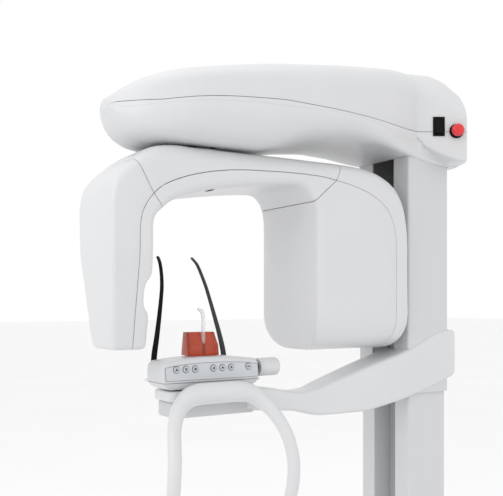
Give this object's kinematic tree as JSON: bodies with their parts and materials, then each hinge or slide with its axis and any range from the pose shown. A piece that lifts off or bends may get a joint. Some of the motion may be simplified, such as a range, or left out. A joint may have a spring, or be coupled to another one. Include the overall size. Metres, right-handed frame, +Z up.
{
  "type": "panoramic dental x-ray unit",
  "caption": "Free-standing panoramic dental x-ray unit: telescopic column, overhead arm, rotating C-arm, chin rest with temple arms and keypad.",
  "frame": {"origin": "on the floor at the centre of the floor bolt pattern, on the column's axis", "axes": "+Z up, -Y along the overhead arm, +X the side that the keypad faces"},
  "size_m": [0.64, 1.067, 2.0307],
  "materials": {
    "white_plastic": "satin moulded",
    "white_metal": "satin white powder coat",
    "column_aluminium": "satin light grey paint",
    "grey_metal": "fine texture powder coat",
    "machined_steel": "machined",
    "inner_aluminium": "mill finish",
    "bronze_bearing": "turned",
    "black_plastic": "fine texture",
    "dark_grey_plastic": "satin",
    "belt_rubber": "moulded",
    "red_plastic": "gloss",
    "orange_acrylic": "translucent gloss",
    "clear_plastic": "clear gloss",
    "tube_glass": "clear",
    "key_film": "satin film",
    "green_board": "solder mask"
  },
  "bodies": {
    "stand": {"base_plate": "grey_metal", "column_profile": "column_aluminium", "recess_cover": "dark_grey_plastic", "wall_bracket": "grey_metal", "lift_motor": "inner_aluminium"},
    "lead_screw": {"lead_screw": "machined_steel"},
    "lift": {"push_tube": "machined_steel", "sleeve_profile": "column_aluminium", "sleeve_glides": "dark_grey_plastic", "overhead_lower_cover": "white_plastic", "overhead_upper_cover": "white_plastic", "overhead_frame": "grey_metal", "y_rails": "machined_steel", "carriage_motor": "black_plastic", "power_supply": "inner_aluminium", "rocker_bezel": "black_plastic", "estop_base": "black_plastic", "mains_inlet": "black_plastic", "chin_arm": "white_metal", "arm_end_cover": "white_plastic", "panel_pad": "white_plastic", "panel_housing": "white_plastic", "panel_base": "white_plastic", "keypad_board": "green_board", "chin_block": "orange_acrylic", "handle": "white_metal", "cover_screws": "machined_steel"},
    "carriage": {"y_carriage": "inner_aluminium", "bearing_outer_ring": "machined_steel", "rotation_motor": "black_plastic", "drive_belt": "belt_rubber"},
    "carriage_screw": {"y_screw": "machined_steel"},
    "motor_pulley": {"motor_pulley": "machined_steel"},
    "c_arm": {"c_arm_frame": "inner_aluminium", "hub_neck": "inner_aluminium", "sensor_outer_cover": "white_plastic", "sensor_inner_cover": "white_plastic", "beam_upper_cover": "white_plastic", "beam_lower_cover": "white_plastic", "tube_outer_cover": "white_plastic", "tube_inner_cover": "white_plastic", "sensor_panel": "dark_grey_plastic", "tube_tank": "grey_metal", "xray_tube": "tube_glass", "collimator": "bronze_bearing"},
    "rocker": {"power_rocker": "black_plastic"},
    "estop_stem": {"estop_stem": "dark_grey_plastic"},
    "estop_button": {"estop_button": "red_plastic"},
    "knob": {"knob": "white_plastic", "clamp_shaft": "machined_steel"},
    "temple_left": {"temple_arm_left": "black_plastic"},
    "temple_right": {"temple_arm_right": "black_plastic"},
    "bite_tube": {"bite_tube": "clear_plastic"},
    "key_1": {"key_1": "key_film"},
    "key_2": {"key_2": "key_film"},
    "key_3": {"key_3": "key_film"},
    "key_4": {"key_4": "key_film"},
    "key_5": {"key_5": "key_film"},
    "key_6": {"key_6": "key_film"},
    "key_7": {"key_7": "key_film"}
  },
  "joints": [
    {"name": "column_lift", "type": "slide", "parent": "stand", "child": "lift", "axis": [0, 0, 1], "range_m": [-0.3, 0.2]},
    {"name": "lead_screw_turn", "type": "hinge", "parent": "stand", "child": "lead_screw", "pos_m": [0, 0.032, 0.3], "axis": [0, 0, 1], "range_deg": [-5401, 3601]},
    {"name": "carriage_slide", "type": "slide", "parent": "lift", "child": "carriage", "axis": [0, 1, 0], "range_m": [-0.04, 0]},
    {"name": "carriage_screw_turn", "type": "hinge", "parent": "lift", "child": "carriage_screw", "pos_m": [0, -0.34, 1.858], "axis": [0, 1, 0], "range_deg": [-1441, 1]},
    {"name": "arm_rotation", "type": "hinge", "parent": "carriage", "child": "c_arm", "pos_m": [0, -0.65, 1.8], "axis": [0, 0, 1], "range_deg": [-30, 210]},
    {"name": "motor_pulley_turn", "type": "hinge", "parent": "carriage", "child": "motor_pulley", "pos_m": [0, -0.54, 1.8], "axis": [0, 0, 1], "range_deg": [-151, 1051]},
    {"name": "power_rocker_tilt", "type": "hinge", "parent": "lift", "child": "rocker", "pos_m": [0.13871, -0.00198, 1.874], "axis": [0.5314, 0.8471, 0], "range_deg": [0, 10]},
    {"name": "estop_push", "type": "slide", "parent": "lift", "child": "estop_stem", "axis": [-0.8471, 0.5314, 0], "range_m": [0, 0.005], "stiffness_N_per_m": 1500},
    {"name": "estop_twist", "type": "hinge", "parent": "estop_stem", "child": "estop_button", "pos_m": [0.18021, 0.02747, 1.862], "axis": [0.8471, -0.5314, 0], "range_deg": [-40, 0], "stiffness_Nm_per_rad": 0.05},
    {"name": "knob_turn", "type": "hinge", "parent": "lift", "child": "knob", "pos_m": [0.03, -0.5, 1.25], "axis": [0, 1, 0], "range_deg": [0, 240]},
    {"name": "temple_left_open", "type": "hinge", "parent": "lift", "child": "temple_left", "pos_m": [-0.042, -0.7415, 1.258], "axis": [1, 0, 0], "range_deg": [0, 10.2]},
    {"name": "temple_right_open", "type": "hinge", "parent": "lift", "child": "temple_right", "pos_m": [-0.042, -0.5585, 1.258], "axis": [1, 0, 0], "range_deg": [-10.2, 0]},
    {"name": "bite_tube_lift", "type": "slide", "parent": "lift", "child": "bite_tube", "axis": [0, 0, 1], "range_m": [0, 0.02]},
    {"name": "key_1_press", "type": "slide", "parent": "lift", "child": "key_1", "axis": [-1, 0, 0], "range_m": [0, 0.0008], "stiffness_N_per_m": 1200},
    {"name": "key_2_press", "type": "slide", "parent": "lift", "child": "key_2", "axis": [-1, 0, 0], "range_m": [0, 0.0008], "stiffness_N_per_m": 1200},
    {"name": "key_3_press", "type": "slide", "parent": "lift", "child": "key_3", "axis": [-1, 0, 0], "range_m": [0, 0.0008], "stiffness_N_per_m": 1200},
    {"name": "key_4_press", "type": "slide", "parent": "lift", "child": "key_4", "axis": [-1, 0, 0], "range_m": [0, 0.0008], "stiffness_N_per_m": 1200},
    {"name": "key_5_press", "type": "slide", "parent": "lift", "child": "key_5", "axis": [-1, 0, 0], "range_m": [0, 0.0008], "stiffness_N_per_m": 1200},
    {"name": "key_6_press", "type": "slide", "parent": "lift", "child": "key_6", "axis": [-1, 0, 0], "range_m": [0, 0.0008], "stiffness_N_per_m": 1200},
    {"name": "key_7_press", "type": "slide", "parent": "lift", "child": "key_7", "axis": [-1, 0, 0], "range_m": [0, 0.0008], "stiffness_N_per_m": 1200}
  ],
  "couplings": [
    {"joint": "lead_screw_turn", "follows": "column_lift", "rad_per_m": 314.16},
    {"joint": "carriage_screw_turn", "follows": "carriage_slide", "rad_per_m": 628.32},
    {"joint": "motor_pulley_turn", "follows": "arm_rotation", "ratio": 5},
    {"joint": "temple_left_open", "follows": "knob_turn", "ratio": 0.041667},
    {"joint": "temple_right_open", "follows": "knob_turn", "ratio": -0.041667}
  ]
}
